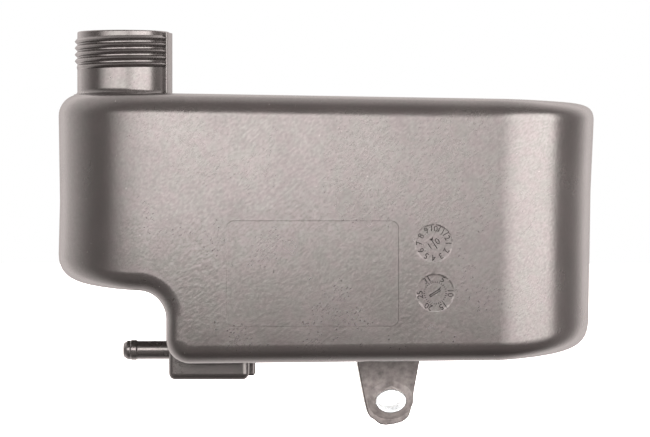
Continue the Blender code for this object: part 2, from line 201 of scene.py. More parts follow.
# Strainer gauze.
WIRE_R = 0.14
UPRIGHT_WIRES = 60
RING_WIRES = 44

# Colours, and the stretch and turn about Y of the diagonal grain.
TANK_DARK = (0.0105, 0.0095, 0.0092)
SPECK_COLOUR = (0.12, 0.115, 0.11)
ROSY_TINT = (1.0, 0.965, 0.970)
GREENISH_TINT = (0.955, 0.985, 0.960)
LIGHT_COLOUR = (1.0, 0.905, 0.880)
DIAGONAL = ((2.0, 1.0, 1.0), -42)

# Camera, in metres, with its lens and sensor in millimetres.
CAMERA_PLACE = (-0.0005, -1.654, 0.0041)
CAMERA_LENS = 200.0
CAMERA_SENSOR = 36.0


# ---------------------------------------------------------------- surfaces


class Skin:
    """A surface gathered face by face. Corners that coincide become one vertex."""

    def __init__(self):
        self.bm = bmesh.new()
        self.known = {}

    def vert(self, point):
        key = tuple(round(c, 4) for c in point)
        if key not in self.known:
            self.known[key] = self.bm.verts.new(point)
        return self.known[key]

    def face(self, points):
        ring = []
        for point in points:
            vert = self.vert(point)
            if vert not in ring:
                ring.append(vert)
        if len(ring) > 2:
            self.bm.faces.new(ring)

    def strip(self, first, second):
        for k in range(len(first) - 1):
            self.face((first[k], first[k + 1], second[k + 1], second[k]))

    def loft(self, rows, close_rows=False, caps=False):
        """Quads between neighbouring closed rows of points, with a face on both end rows for caps."""
        count = len(rows) if close_rows else len(rows) - 1
        for k in range(count):
            a = rows[k]
            b = rows[(k + 1) % len(rows)]
            self.strip(a + a[:1], b + b[:1])
        if caps:
            self.face(rows[0])
            self.face(rows[-1])


def new_mesh_object(name, bm, triangulate=False):
    """An object in metres from a mesh in millimetres, with its faces turned outward."""
    bmesh.ops.recalc_face_normals(bm, faces=bm.faces)
    if triangulate:
        bmesh.ops.triangulate(bm, faces=bm.faces)
    bm.transform(Matrix.Scale(MM, 4))
    mesh = bpy.data.meshes.new(name)
    bm.to_mesh(mesh)
    bm.free()
    obj = bpy.data.objects.new(name, mesh)
    bpy.context.scene.collection.objects.link(obj)
    return obj


def smooth(obj, angle):
    """Shades the object smooth, with sharp edges above the angle."""
    for face in obj.data.polygons:
        face.use_smooth = True
    obj.data.set_sharp_from_angle(angle=math.radians(angle))
    change = obj.modifiers.new("weighted", "WEIGHTED_NORMAL")
    change.keep_sharp = True


def cut(target, others, operation="DIFFERENCE"):
    """Applies Booleans to the target and removes the other objects."""
    for other in others:
        change = target.modifiers.new("cut", "BOOLEAN")
        change.operation = operation
        change.solver = "EXACT"
        change.object = other
    graph = bpy.context.evaluated_depsgraph_get()
    made = bpy.data.meshes.new_from_object(target.evaluated_get(graph))
    target.modifiers.clear()
    target.data = made
    for other in others:
        bpy.data.objects.remove(other, do_unlink=True)


def arc(centre, radius, start, end, steps):
    points = []
    for k in range(steps + 1):
        angle = math.radians(start + (end - start) * k / steps)
        points.append((centre[0] + radius * math.cos(angle), centre[1] + radius * math.sin(angle)))
    return points


def bezier(a, b, c, d, steps):
    points = []
    for k in range(steps + 1):
        t = k / steps
        s = 1 - t
        weights = (s**3, 3 * s * s * t, 3 * s * t * t, t**3)
        points.append(tuple(sum(w * p[i] for w, p in zip(weights, (a, b, c, d))) for i in (0, 1)))
    return points


def ellipse(centre, long_r, short_r, steps):
    points = []
    for k in range(steps):
        turn = 2 * math.pi * k / steps
        points.append((centre[0] + long_r * math.cos(turn), centre[1] + short_r * math.sin(turn)))
    return points


def rounded_rectangle(centre_x, centre_z, width, height, radius, steps=6):
    points = []
    for start, sx, sz in ((0, 1, 1), (90, -1, 1), (180, -1, -1), (270, 1, -1)):
        centre = (centre_x + sx * (width / 2 - radius), centre_z + sz * (height / 2 - radius))
        points += arc(centre, radius, start, start + 90, steps)
    return points


def prism(name, outline, low_y, high_y, inner=None):
    """A triangulated prism: an (x, z) outline carried along Y, to the inner one if it is given."""
    skin = Skin()
    front = [(x, low_y, z) for x, z in outline]
    back = [(x, high_y, z) for x, z in inner or outline]
    skin.loft([front, back], caps=True)
    return new_mesh_object(name, skin.bm, triangulate=True)


def turned(name, outline, steps, centre_x=0.0, triangulate=False):
    """A solid turned about a vertical line, from an (r, z) outline that is closed or ends on it."""
    skin = Skin()
    rings = []
    for k in range(steps):
        turn = 2 * math.pi * (k + 0.5) / steps
        rings.append([(centre_x + r * math.cos(turn), r * math.sin(turn), z) for r, z in outline])
    for k in range(steps):
        skin.strip(rings[k], rings[(k + 1) % steps])
    return new_mesh_object(name, skin.bm, triangulate)


# ---------------------------------------------------------------- materials


class Nodes:
    """A node tree, with short ways to add nodes and join them."""

    def __init__(self, tree):
        self.tree = tree

    def add(self, kind):
        return self.tree.nodes.new(kind)

    def fill(self, socket, value):
        """Sets the socket to a number or a colour, or joins another node's output to it."""
        if isinstance(value, (int, float)):
            socket.default_value = value
        elif isinstance(value, tuple):
            socket.default_value = (*value, 1)
        else:
            self.tree.links.new(value, socket)

    def split(self, vector):
        made = self.add("ShaderNodeSeparateXYZ")
        self.fill(made.inputs[0], vector)
        return made.outputs

    def math(self, kind, *values):
        made = self.add("ShaderNodeMath")
        made.operation = kind
        for socket, value in zip(made.inputs, values):
            self.fill(socket, value)
        return made.outputs[0]

    def span(self, source, low, high, to_low, to_high, curve="LINEAR"):
        """The source, mapped from low..high to to_low..to_high and held at the ends."""
        made = self.add("ShaderNodeMapRange")
        made.interpolation_type = curve
        self.fill(made.inputs["Value"], source)
        self.fill(made.inputs["From Min"], low)
        self.fill(made.inputs["From Max"], high)
        self.fill(made.inputs["To Min"], to_low)
        self.fill(made.inputs["To Max"], to_high)
        return made.outputs["Result"]


class Shader(Nodes):
    """A Principled material with a small chain of procedural inputs."""

    def __init__(self, name):
        self.mat = bpy.data.materials.new(name)
        self.mat.use_nodes = True
        super().__init__(self.mat.node_tree)
        self.bsdf = self.tree.nodes["Principled BSDF"]
        self.coords = self.add("ShaderNodeTexCoord").outputs["Object"]

    def set(self, name, value):
        self.fill(self.bsdf.inputs[name], value)

    def noise(self, scale, detail=2.0, rough=0.5, stretch=None, turn=0.0):
        """Noise with this many cells a metre, its cells stretched on axes turned about Y."""
        source = self.coords
        if stretch:
            mapping = self.add("ShaderNodeMapping")
            mapping.vector_type = "TEXTURE"
            mapping.inputs["Scale"].default_value = stretch
            mapping.inputs["Rotation"].default_value = (0.0, math.radians(turn), 0.0)
            self.fill(mapping.inputs["Vector"], source)
            source = mapping.outputs["Vector"]
        made = self.add("ShaderNodeTexNoise")
        self.fill(made.inputs["Scale"], scale)
        self.fill(made.inputs["Detail"], detail)
        self.fill(made.inputs["Roughness"], rough)
        self.fill(made.inputs["Vector"], source)
        return made.outputs["Fac"]

    def ramp(self, source, stops):
        made = self.add("ShaderNodeValToRGB")
        for element, (position, colour) in zip(made.color_ramp.elements, stops):
            element.position = position
            element.color = (*colour, 1)
        self.fill(made.inputs["Fac"], source)
        return made.outputs["Color"]

    def bump(self, height, strength, distance, base=None):
        made = self.add("ShaderNodeBump")
        self.fill(made.inputs["Distance"], distance)
        self.fill(made.inputs["Strength"], strength)
        self.fill(made.inputs["Height"], height)
        if base is not None:
            self.fill(made.inputs["Normal"], base)
        return made.outputs["Normal"]

    def mix(self, share, first, second):
        """The first colour where the share is 0, and the second where it is 1."""
        made = self.add("ShaderNodeMix")
        made.data_type = "RGBA"
        self.fill(made.inputs[0], share)
        self.fill(made.inputs[6], first)
        self.fill(made.inputs[7], second)
        return made.outputs[2]


def pad_mask(shader):
    """1 inside the label pad of the front face and 0 outside it, softly."""
    place = shader.split(shader.coords)
    inside = None
    for axis, centre, size in (("X", PAD[0], PAD[2]), ("Z", PAD[1], PAD[3])):
        away = shader.math("SUBTRACT", place[axis], centre * MM)
        away = shader.math("ABSOLUTE", away)
        near = shader.span(away, (size / 2 - 0.6) * MM, (size / 2 + 0.3) * MM, 1.0, 0.0)
        inside = near if inside is None else shader.math("MULTIPLY", inside, near)
    front = shader.span(place["Y"], (1 - HALF_DEPTH) * MM, (0.5 - HALF_DEPTH) * MM, 0.0, 1.0)
    return shader.math("MULTIPLY", inside, front)


def plastic(name, dark, light, rough, grain, with_pad=False, shine=0.5, blotches=26):
    """Moulded plastic: blotched colour, worn sheen, leather grain and a few pale specks."""
    s = Shader(name)
    colour = s.ramp(s.noise(blotches, 4, 0.6), ((0.3, dark), (0.72, light)))
    specks = s.span(s.noise(1500, 0.0), 0.88, 0.90, 0.0, 1.0)
    s.set("Base Color", s.mix(specks, colour, SPECK_COLOUR))
    s.set("Roughness", s.span(s.noise(60, 3, 0.6), 0.25, 0.75, rough - 0.035, rough + 0.035))
    strength = grain
    if with_pad:
        strength = s.span(pad_mask(s), 0.0, 1.0, grain, grain * PAD_GRAIN)
    pebbled = s.bump(s.noise(900, 2, 0.6), strength, 0.05 * MM)
    streaked = s.bump(s.noise(800, 1, 0.5, *DIAGONAL), strength, 0.08 * MM, pebbled)
    s.set("Normal", s.bump(s.noise(38, 1), 0.03, 0.9 * MM, streaked))
    glint = s.noise(1250, 1, 0.5, *DIAGONAL)
    s.set("Specular IOR Level", s.span(glint, 0.3, 0.7, 0.89 * shine, 1.11 * shine))
    tint = s.ramp(s.noise(170, 2, 0.6), ((0.36, ROSY_TINT), (0.64, GREENISH_TINT)))
    s.set("Specular Tint", tint)
    return s.mat


def metal(name):
    """Drawn metal, its fine marks running round the piece."""
    s = Shader(name)
    marks = s.noise(700, 2, 0.5, (1.0, 0.17, 1.0))
    s.set("Base Color", s.ramp(marks, ((0.3, (0.56, 0.62, 0.64)), (0.7, (0.66, 0.72, 0.74)))))
    s.set("Roughness", s.span(marks, 0.3, 0.7, 0.22, 0.36))
    s.set("Metallic", 0.4)
    s.set("Normal", s.bump(marks, 0.15, 0.05 * MM))
    return s.mat


tank_mat = plastic("tank_plastic", TANK_DARK, (0.0150, 0.0137, 0.0132), 0.25, 0.32, with_pad=True)
neck_mat = plastic("neck_plastic", TANK_DARK, (0.0145, 0.0132, 0.0127), 0.26, 0.12)
# The lug is the tank's black plastic painted several times lighter: painted light, so that its plate
# reads as lit.
lug_painted_light_mat = plastic(
    "lug_plastic_painted_light", (0.042, 0.039, 0.038), (0.115, 0.108, 0.105), 0.50, 0.90, blotches=330
)
# The lug's front chamfer is painted near black: painted shade along its edge.
chamfer_shade_mat = plastic(
    "lug_chamfer_painted_shade", (0.006, 0.0055, 0.005), (0.012, 0.011, 0.0105), 0.70, 0.30, shine=0.15
)
# The lug's side wall is painted pale: a painted highlight along the lug's edge.
side_highlight_mat = plastic("lug_side_painted_highlight", (0.26, 0.25, 0.245), (0.36, 0.35, 0.34), 0.50, 0.50)
# Dial figures, ticks and pointer outlines are painted near black: painted shade standing in for the
# shade in the moulded marks.
dial_shade_mat = plastic(
    "dial_marks_painted_shade", (0.006, 0.0055, 0.0055), (0.010, 0.0095, 0.009), 0.6, 0.10, shine=0.1
)
# The nipple's plastic is painted a little lighter than the tank's: painted light for its brighter
# stem.
nipple_lit_mat = plastic(
    "nipple_plastic", (0.012, 0.011, 0.0105), (0.020, 0.0185, 0.018), 0.27, 0.08, shine=0.7
)
cage_mat = plastic("strainer_plastic", (0.095, 0.090, 0.078), (0.130, 0.124, 0.108), 0.45, 0.10)
gauze_mat = plastic("strainer_gauze", (0.055, 0.051, 0.043), (0.080, 0.075, 0.064), 0.50, 0.10)
sleeve_mat = metal("sleeve_metal")


def dress(obj, mat, body="tank"):
    """Gives the object its material and the body it rides on."""
    obj.data.materials.clear()
    obj.data.materials.append(mat)
    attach(obj, body)
    return obj


# ---------------------------------------------------------------- tank body


def turned_in(x):
    """The share of its depth the body keeps at x, so that its left end turns in early and gently."""
    left_x = LEFT_X - LEFT_REACH
    reach = TURN_X - left_x
    if x >= TURN_X:
        return 1.0
    if x >= LEFT_X:
        return math.sqrt(1 - ((TURN_X - x) / reach) ** 2)
    along = max(x - left_x, 0)
    return math.sqrt((2 * reach - along) / (2 * LEFT_REACH - along)) * LEFT_REACH / reach


def settle(point):
    """Turns the left end in, and slopes the top and bottom of the level body."""
    x, y, z = point
    upper = min(max(z / TOP_FULL_Z, 0), 1)
    lower = min(max(z / BOTTOM_FULL_Z, 0), 1)
    past_break = max(x - TOP_BREAK_X, 0)
    z += upper * TOP_SLOPE * past_break**2 / (past_break + TOP_EASE)
    z += lower * BOTTOM_SLOPE * max(x - BOTTOM_BREAK_X, 0)
    return (x, y * turned_in(x), z)


def end_patch(skin, axis_x, way, side, front):
    """One rounded end of the body, front half, blending its side and front profiles."""
    rings = []
    for k in range(PLAN_STEPS + 1):
        turn = math.radians(90 * k / PLAN_STEPS)
        along = math.cos(turn)
        across = math.sin(turn)
        ring = []
        for (reach, z_side), (depth, z_front) in zip(side, front):
            z = z_side * along**2 + z_front * across**2
            ring.append((axis_x + way * reach * along, -depth * across, z))
        rings.append(ring)
    for k in range(PLAN_STEPS):
        skin.strip(rings[k], rings[k + 1])
    for level in (0, -1):
        skin.face([ring[level] for ring in rings] + [(axis_x, 0, front[level][1])])


def left_side(inset):
    """The left end's profile from top to bottom: how far past its axis, and height."""
    r = EDGE_R - inset
    wall = LEFT_REACH - inset
    lobe = LOBE_Z + inset
    points = arc((wall - r, TOP_Z - inset - r), r, 90, 0, ARC_STEPS)
    points += [(wall - LEFT_WAIST_IN, LEFT_WAIST_Z)]
    points += bezier(
        (wall, LEFT_LOW_Z + inset / 2), (wall, lobe + 4.2),
        (LEFT_LOW_REACH - inset / 2, lobe + 1.2), (POLE, lobe), ARC_STEPS,
    )
    return points


def right_side(inset):
    """The right end's profile from top to bottom, as left_side gives it."""
    wall = RIGHT_REACH - inset
    top = TOP_Z - inset
    sump = SUMP_Z + inset
    points = bezier(
        (RIGHT_TOP_REACH, top), (RIGHT_TOP_PULL, top), (wall + 0.8, top - 0.2),
        (wall, top - RIGHT_TOP_DROP), ARC_STEPS,
    )
    points += [(wall - RIGHT_WAIST_IN, RIGHT_WAIST_Z)]
    points += bezier(
        (wall - RIGHT_LOW_IN, RIGHT_LOW_Z + inset / 2), (wall - 2.0, sump + 4.3),
        (RIGHT_LOW_REACH - inset, sump + 0.8), (POLE, sump), ARC_STEPS,
    )
    return points


def front_profile(waist_z, foot_z, inset):
    """The body's depth from top to bottom where an end begins: distance from Y = 0, and height."""
    r = EDGE_R - inset
    under = UNDER_R - inset
    half = HALF_DEPTH - inset
    points = arc((half - r, TOP_Z - inset - r), r, 90, 0, ARC_STEPS)
    points += [(half, waist_z)]
    points += arc((half - under, foot_z + inset + under), under, 0, -90, ARC_STEPS)
    return points


def band(skin, half, outer, inner, radius):
    """The rounded edge from the outer line at Y = 0 to the inner line on the front face."""
    rows = []
    for (ox, oz), (ix, iz) in zip(outer, inner):
        row = [(ox, 0, oz)]
        for k in range(ARC_STEPS + 1):
            turn = math.radians(90 * k / ARC_STEPS)
            out = math.cos(turn)
            depth = half - radius + radius * math.sin(turn)
            row.append((ix + (ox - ix) * out, -depth, iz + (oz - iz) * out))
        rows.append(row)
    for k in range(len(rows) - 1):
        skin.strip(rows[k], rows[k + 1])
    return [row[-1] for row in rows]


def body_half(inset):
    """The faces of the body's front half, all set in by the inset."""
    r = EDGE_R - inset
    under = UNDER_R - inset
    half = HALF_DEPTH - inset
    top = TOP_Z - inset
    sump = SUMP_Z + inset
    skin = Skin()
    left_front = front_profile(LEFT_WAIST_Z, LOBE_Z, inset)
    right_front = front_profile(RIGHT_WAIST_Z, SUMP_Z, inset)
    end_patch(skin, LEFT_X, -1, left_side(inset), left_front)
    end_patch(skin, RIGHT_X, 1, right_side(inset), right_front)

    step = (LEFT_X, LOBE_Z - STEP_R)
    stations = [x for x, _ in arc(step, STEP_R + UNDER_R, 90, 0, ARC_STEPS)]
    last = stations[-1]
    stations += [last + (RIGHT_X - last) * k / TOP_STEPS for k in range(1, TOP_STEPS + 1)]
    top_outer = [(x, top) for x in stations]
    top_inner = [(x, top - r) for x in stations]
    top_edge = band(skin, half, top_outer, top_inner, r)
    corner = (STEP_X + SUMP_R, SUMP_Z + SUMP_R)
    outer = arc(step, STEP_R + inset, 90, 0, ARC_STEPS)
    outer += arc(corner, SUMP_R - inset, 180, 270, ARC_STEPS)
    outer += [(RIGHT_X, sump)]
    inner = arc(step, STEP_R + inset + under, 90, 0, ARC_STEPS)
    inner += arc(corner, SUMP_R - inset - under, 180, 270, ARC_STEPS)
    inner += [(RIGHT_X, sump + under)]
    bottom_edge = band(skin, half, outer, inner, under)

    left_waist = (LEFT_X, -half, LEFT_WAIST_Z)
    right_waist = (RIGHT_X, -half, RIGHT_WAIST_Z)
    for k in range(ARC_STEPS):
        corners = [top_edge[k], top_edge[k + 1], bottom_edge[k + 1], bottom_edge[k]]
        skin.face(corners if k else corners + [left_waist])
    skin.face(top_edge[ARC_STEPS:] + [right_waist] + bottom_edge[ARC_STEPS:][::-1])
    return [[tuple(vert.co) for vert in face.verts] for face in skin.bm.faces]


def body_solid(name, inset):
    """The whole body, its back half the mirror image of its front half."""
    skin = Skin()
    for face in body_half(inset):
        corners = [settle(point) for point in face]
        skin.face(corners)
        skin.face([(x, -y, z) for x, y, z in corners])
    return new_mesh_object(name, skin.bm, triangulate=True)


def mark_cutters():
    """The front face's shallow recesses: a label pad and two dials with sloping walls, and a pit."""
    x, z, width, height = PAD
    wide = rounded_rectangle(x, z, width + 0.6, height + 0.6, 3.5)
    narrow = rounded_rectangle(x, z, width, height, 3.2)
    cutters = [prism("pad_cut", wide, -HALF_DEPTH - PAD_DEPTH, -HALF_DEPTH + PAD_DEPTH, narrow)]
    low, high = -HALF_DEPTH - MARK_DEPTH, -HALF_DEPTH + MARK_DEPTH
    for centre in DIALS:
        wide = ellipse(centre, DIAL_R + 0.7, DIAL_R + 0.7, 72)
        narrow = ellipse(centre, DIAL_R - 0.3, DIAL_R - 0.3, 72)
        cutters.append(prism("dial_cut", wide, low, high, narrow))
    cutters.append(prism("pit_cut", ellipse(PIT, PIT_R, PIT_R, 24), low, high))
    return cutters


def make_body():
    body = body_solid("tank_body", 0.0)
    cavity = body_solid("cavity", WALL)
    outline = [(0, HOLE_TOP_Z), (HOLE_R, HOLE_TOP_Z), (HOLE_R, HOLE_LOW_Z), (0, HOLE_LOW_Z)]
    neck_hole = turned("neck_hole", outline, 60, NECK_X, triangulate=True)
    cut(body, mark_cutters() + [cavity, neck_hole])
    smooth(body, 30)
    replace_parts(dress(body, tank_mat), "tank_shell")


# ---------------------------------------------------------------- neck


def make_neck():
    """The plain tube of the neck, with its seat for the strainer and a faint ring below the thread."""
    outline = [
        (SEAT_R, NECK_LOW_Z), (SEAT_R, SEAT_Z), (BORE_R, SEAT_Z), (BORE_R, RIM_Z - 0.5),
        (BORE_R + 0.15, RIM_Z - 0.15), (BORE_R + 0.5, RIM_Z), (NECK_R - 0.6, RIM_Z),
        (NECK_R - 0.17, RIM_Z - 0.17), (NECK_R, RIM_Z - 0.6), (NECK_R, RING_Z + 0.15),
        (NECK_R + 0.05, RING_Z), (NECK_R, RING_Z - 0.15), (NECK_R, NECK_LOW_Z),
        (SEAT_R, NECK_LOW_Z),
    ]
    neck = turned("filler_neck", outline, TURN_STEPS, NECK_X)
    smooth(neck, 50)
    dress(neck, neck_mat)


def make_neck_root():
    """The flare at the neck's foot, tallest at front and back and widest towards the tank's middle."""
    rows = []
    for k in range(TURN_STEPS):
        turn = 2 * math.pi * k / TURN_STEPS
        cos, sin = math.cos(turn), math.sin(turn)
        rise = 1.4 + 1.5 * sin * sin + 0.5 * max(cos, 0)
        spread = 1.6 + 1.2 * sin * sin + 1.6 * max(cos, 0) ** 2
        base = NECK_BASE_Z + TOP_SLOPE * NECK_R * cos
        points = [(HIDDEN_R, base + rise)]
        for j in range(ARC_STEPS + 1):
            t = math.radians(90 * j / ARC_STEPS)
            r = NECK_R + spread * (1 - math.cos(t))
            points.append((r, base + rise * (1 - math.sin(t)) + 0.15))
        points += [(NECK_R + spread, base - 2.0), (HIDDEN_R, base - 2.0)]
        rows.append([(NECK_X + r * cos, r * sin, z) for r, z in points])
    flare = Skin()
    flare.loft(rows, close_rows=True)
    root = new_mesh_object("neck_root", flare.bm)
    smooth(root, 50)
    dress(root, neck_mat)


def thread_profile():
    """The thread's blunt ridge from top to bottom: share of its full height, and distance down."""
    points = []
    for k in range(ARC_STEPS + 1):
        t = -1 + 2 * k / ARC_STEPS
        height = max(0.0, 1 - abs(t)) ** 0.85 * (1 - THREAD_BLUNTING * (1 - abs(t)))
        points.append((height / (1 - THREAD_BLUNTING), THREAD_HALF_WIDTH * t))
    return points


def make_thread():
    total = round(THREAD_TURNS * TURN_STEPS)
    base_r = NECK_R - 0.05
    core_r = NECK_R - 0.8
    loops = []
    for k in range(total + 1):
        turn = 2 * math.pi * k / TURN_STEPS + math.pi
        fade = min(1.0, (k + 1) / THREAD_FADE_STEPS, (total - k + 1) / THREAD_FADE_STEPS)
        z = THREAD_LOW_Z + THREAD_PITCH * k / TURN_STEPS
        cos, sin = math.cos(turn), math.sin(turn)
        loop = []
        for height, down in thread_profile():
            r = base_r + (THREAD_CREST_R - base_r) * height * fade
            loop.append((NECK_X + r * cos, r * sin, z - down))
        loop.append((NECK_X + core_r * cos, core_r * sin, z))
        loops.append(loop)
    ridge = Skin()
    ridge.loft(loops, caps=True)
    thread = new_mesh_object("neck_thread", ridge.bm)
    smooth(thread, 60)
    dress(thread, neck_mat)


def make_land():
    """The upright strip of the neck that breaks the thread, on its right."""
    outline = arc((NECK_X, 0), THREAD_CREST_R + 0.1, -LAND_ANGLE, LAND_ANGLE, 20)
    outline += arc((NECK_X, 0), HIDDEN_R, LAND_ANGLE, -LAND_ANGLE, 20)
    rows = [[(x, y, z) for x, y in outline] for z in (NECK_BASE_Z - 1.0, RIM_Z - 0.7)]
    strip = Skin()
    strip.loft(rows, caps=True)
    upright = [edge for edge in strip.bm.edges if edge.calc_length() > 5]
    bmesh.ops.bevel(
        strip.bm, geom=upright, offset=0.35, segments=3, profile=0.5, affect="EDGES"
    )
    land = new_mesh_object("neck_land", strip.bm)
    smooth(land, 35)
    dress(land, neck_mat)


# ---------------------------------------------------------------- foot


def block(name, low, high, edge_r, segments):
    """A box between two corners, all its edges rounded."""
    bm = bmesh.new()
    low, high = Vector(low), Vector(high)
    placed = Matrix.Translation((high + low) / 2) @ Matrix.Diagonal((*(high - low), 1.0))
    bmesh.ops.create_cube(bm, size=1.0, matrix=placed)
    bmesh.ops.bevel(
        bm, geom=bm.edges, offset=edge_r, segments=segments, profile=0.5, affect="EDGES"
    )
    return new_mesh_object(name, bm)


def make_foot():
    front = block(
        "sump_foot", (FOOT_X, -FOOT_HALF_DEPTH, FOOT_Z),
        (FOOT_RIGHT_X, FOOT_HALF_DEPTH, FOOT_TOP_Z), FOOT_EDGE_R, 7,
    )
    rear = block(
        "sump_foot_rear", (FOOT_X + 6, FOOT_REAR_Y, FOOT_REAR_Z),
        (FOOT_REAR_X, FOOT_HALF_DEPTH - 1, FOOT_REAR_TOP_Z), FOOT_REAR_EDGE_R, 5,
    )
    for piece in (front, rear):
        smooth(piece, 40)
        dress(piece, tank_mat)


# ---------------------------------------------------------------- lug

lug_place = (
    Matrix.Translation(Vector((LUG_TOP_X, 0, LUG_TOP_Z)) * MM)
    @ Matrix.Rotation(math.radians(LUG_YAW), 4, "Z")
    @ Matrix.Rotation(math.radians(LUG_TILT), 4, "X")
)


def lug_outline(trim):
    """The lug's outline, its tip drawn in all round by the trim."""
    points = []
    for x, z in LUG_OUTLINE:
        depth = min(max(-z / 20, 0), 1)
        below = z - LUG_HOLE[1]
        reach = math.hypot(x, below)
        points.append((x - trim * x / reach, z - trim * depth * below / reach))
    return points


def teardrop(grow, cusp):
    """An oval round the lug's hole, wider than the sleeve by grow, with a cusp at its top."""
    points = []
    for k in range(TURN_STEPS):
        turn = 2 * math.pi * k / TURN_STEPS
        rise = cusp * math.exp(-abs(turn - math.pi / 2) / CUSP_SPREAD)
        x = LUG_HOLE[0] + (SLEEVE_R[0] + grow) * math.cos(turn)
        points.append((x, LUG_HOLE[1] + (SLEEVE_R[1] + grow) * math.sin(turn) + rise))
    return points


def lofted(name, rows):
    """A triangulated solid through rows of (x, z) points, each row with its y."""
    skin = Skin()
    skin.loft([[(x, y, z) for x, z in outline] for y, outline in rows], caps=True)
    return new_mesh_object(name, skin.bm, triangulate=True)


def make_lug():
    """The plate with its boss and hole, painted lighter than the tank as painted light. Its side wall
    is painted pale as a painted highlight, and its front chamfer near black as painted shade.
    """
    half = LUG_THICK / 2
    flat = half - LUG_CHAMFER
    trims = ((-half, 0.45), (-flat, 0.0), (flat, 0.0), (half, 0.35))
    lug = lofted("fixing_lug", [(y, lug_outline(trim)) for y, trim in trims])
    boss_rows = [(-out, teardrop(grow, cusp)) for out, grow, cusp in BOSS_STEPS]
    boss_rows += [(out, teardrop(grow, cusp)) for out, grow, cusp in BOSS_STEPS[::-1]]
    cut(lug, [lofted("lug_boss", boss_rows)], "UNION")
    hole = ellipse(LUG_HOLE, SLEEVE_R[0] + SLEEVE_GAP, SLEEVE_R[1] + SLEEVE_GAP, 56)
    cut(lug, [prism("lug_hole", hole, -10, 10)])
    lug.matrix_world = lug_place
    smooth(lug, 40)
    dress(lug, lug_painted_light_mat)
    lug.data.materials.append(chamfer_shade_mat)
    lug.data.materials.append(side_highlight_mat)
    # Side wall faces take the painted highlight, and front chamfer faces the painted shade.
    for face in lug.data.polygons:
        x, y, z = face.center / MM
        on_plate = math.hypot(x - LUG_HOLE[0], z - LUG_HOLE[1]) > SLEEVE_R[0] + 1.5
        if on_plate and abs(face.normal.y) < 0.3 and abs(y) < flat:
            face.material_index = 2
        elif on_plate and abs(face.normal.y) < 0.9 and -half < y < -flat:
            face.material_index = 1


def make_sleeve():
    """The metal sleeve in the lug: an oval tube with rounded rims."""
    half = SLEEVE_LENGTH / 2
    rounding = (
        (-half, 0.35), (-half + 0.1, 0.12), (-half + 0.35, 0.0), (half - 0.35, 0.0),
        (half - 0.1, 0.12), (half, 0.35),
    )
    flaring = (
        (half, 0.25), (half - 0.15, 0.05), (half - 0.4, 0.0), (-half + 0.4, 0.0),
        (-half + 0.15, 0.05), (-half, 0.25),
    )
    ovals = [(y, SLEEVE_R[0] - trim, SLEEVE_R[1] - trim) for y, trim in rounding]
    for y, flare in flaring:
        ovals.append((y, SLEEVE_R[0] - SLEEVE_WALL + flare, SLEEVE_R[1] - SLEEVE_WALL + flare))
    rows = []
    for y, long_r, short_r in ovals:
        rows.append([(x, y, z) for x, z in ellipse(LUG_HOLE, long_r, short_r, 64)])
    tube = Skin()
    tube.loft(rows, close_rows=True)
    sleeve = new_mesh_object("oval_sleeve", tube.bm)
    sleeve.matrix_world = lug_place
    smooth(sleeve, 50)
    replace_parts(dress(sleeve, sleeve_mat), "lug_sleeve")


# ---------------------------------------------------------------- nipple


def make_nipple():
    """The hose nipple, turned upright and then laid along -X: tip, barb, stem and flange."""
    tip = FOOT_X - NIPPLE_TIP_X
    barb, stem = NIPPLE_BARB_R, NIPPLE_STEM_R
    outline = [
        (NIPPLE_BORE_R, tip - 0.2), (2.6, tip), (2.95, tip), (3.15, tip - 0.15), (3.6, tip - 0.8),
        (4.1, tip - 1.5), (4.4, tip - 2.2), (4.42, tip - 3.0), (4.30, tip - 3.2),
        (4.42, tip - 3.4), (barb - 0.05, tip - 3.7), (barb, tip - 4.1), (barb, tip - 5.8),
        (barb - 0.1, tip - 6.1), (stem + 0.1, tip - 6.4), (stem, tip - 6.8), (stem, 0.6),
        (stem + 0.1, 0.1), (stem, -2.8), (NIPPLE_FLANGE_R, -2.8), (NIPPLE_FLANGE_R, -4.6),
        (NIPPLE_BORE_R, -4.6), (NIPPLE_BORE_R, tip - 0.2),
    ]
    nipple = turned("hose_nipple", outline, 64)
    nipple.rotation_euler.y = math.radians(-90)
    nipple.location = Vector((FOOT_X, 0, NIPPLE_Z)) * MM
    smooth(nipple, 40)
    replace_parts(dress(nipple, nipple_lit_mat), "outlet_nipple")


# ---------------------------------------------------------------- dials


def digits(text, centre, radius, angle, size, lean=None):
    """A raised number at an angle round a dial, its top pointing outward unless it has a lean."""
    curve = bpy.data.curves.new("digits", "FONT")
    curve.body = text
    curve.size = size
    curve.align_x = "CENTER"
    curve.align_y = "CENTER"
    curve.extrude = 0.12
    curve.resolution_u = 3
    holder = bpy.data.objects.new("digits", curve)
    bpy.context.scene.collection.objects.link(holder)
    turn = math.radians(angle)
    x = centre[0] + radius * math.sin(turn)
    z = centre[1] + radius * math.cos(turn)
    holder.matrix_world = (
        Matrix.Translation((x, -HALF_DEPTH + MARK_DEPTH - 0.1, z))
        @ Matrix.Rotation(math.radians(90), 4, "X")
        @ Matrix.Rotation(-turn if lean is None else -math.radians(lean), 4, "Z")
    )
    bpy.context.view_layer.update()
    graph = bpy.context.evaluated_depsgraph_get()
    mesh = bpy.data.meshes.new_from_object(holder.evaluated_get(graph))
    mesh.transform(holder.matrix_world)
    bpy.data.objects.remove(holder, do_unlink=True)
    return mesh


def make_figures(name, meshes):
    bm = bmesh.new()
    for mesh in meshes:
        bm.from_mesh(mesh)
        bpy.data.meshes.remove(mesh)
    dress(new_mesh_object(name, bm), dial_shade_mat)


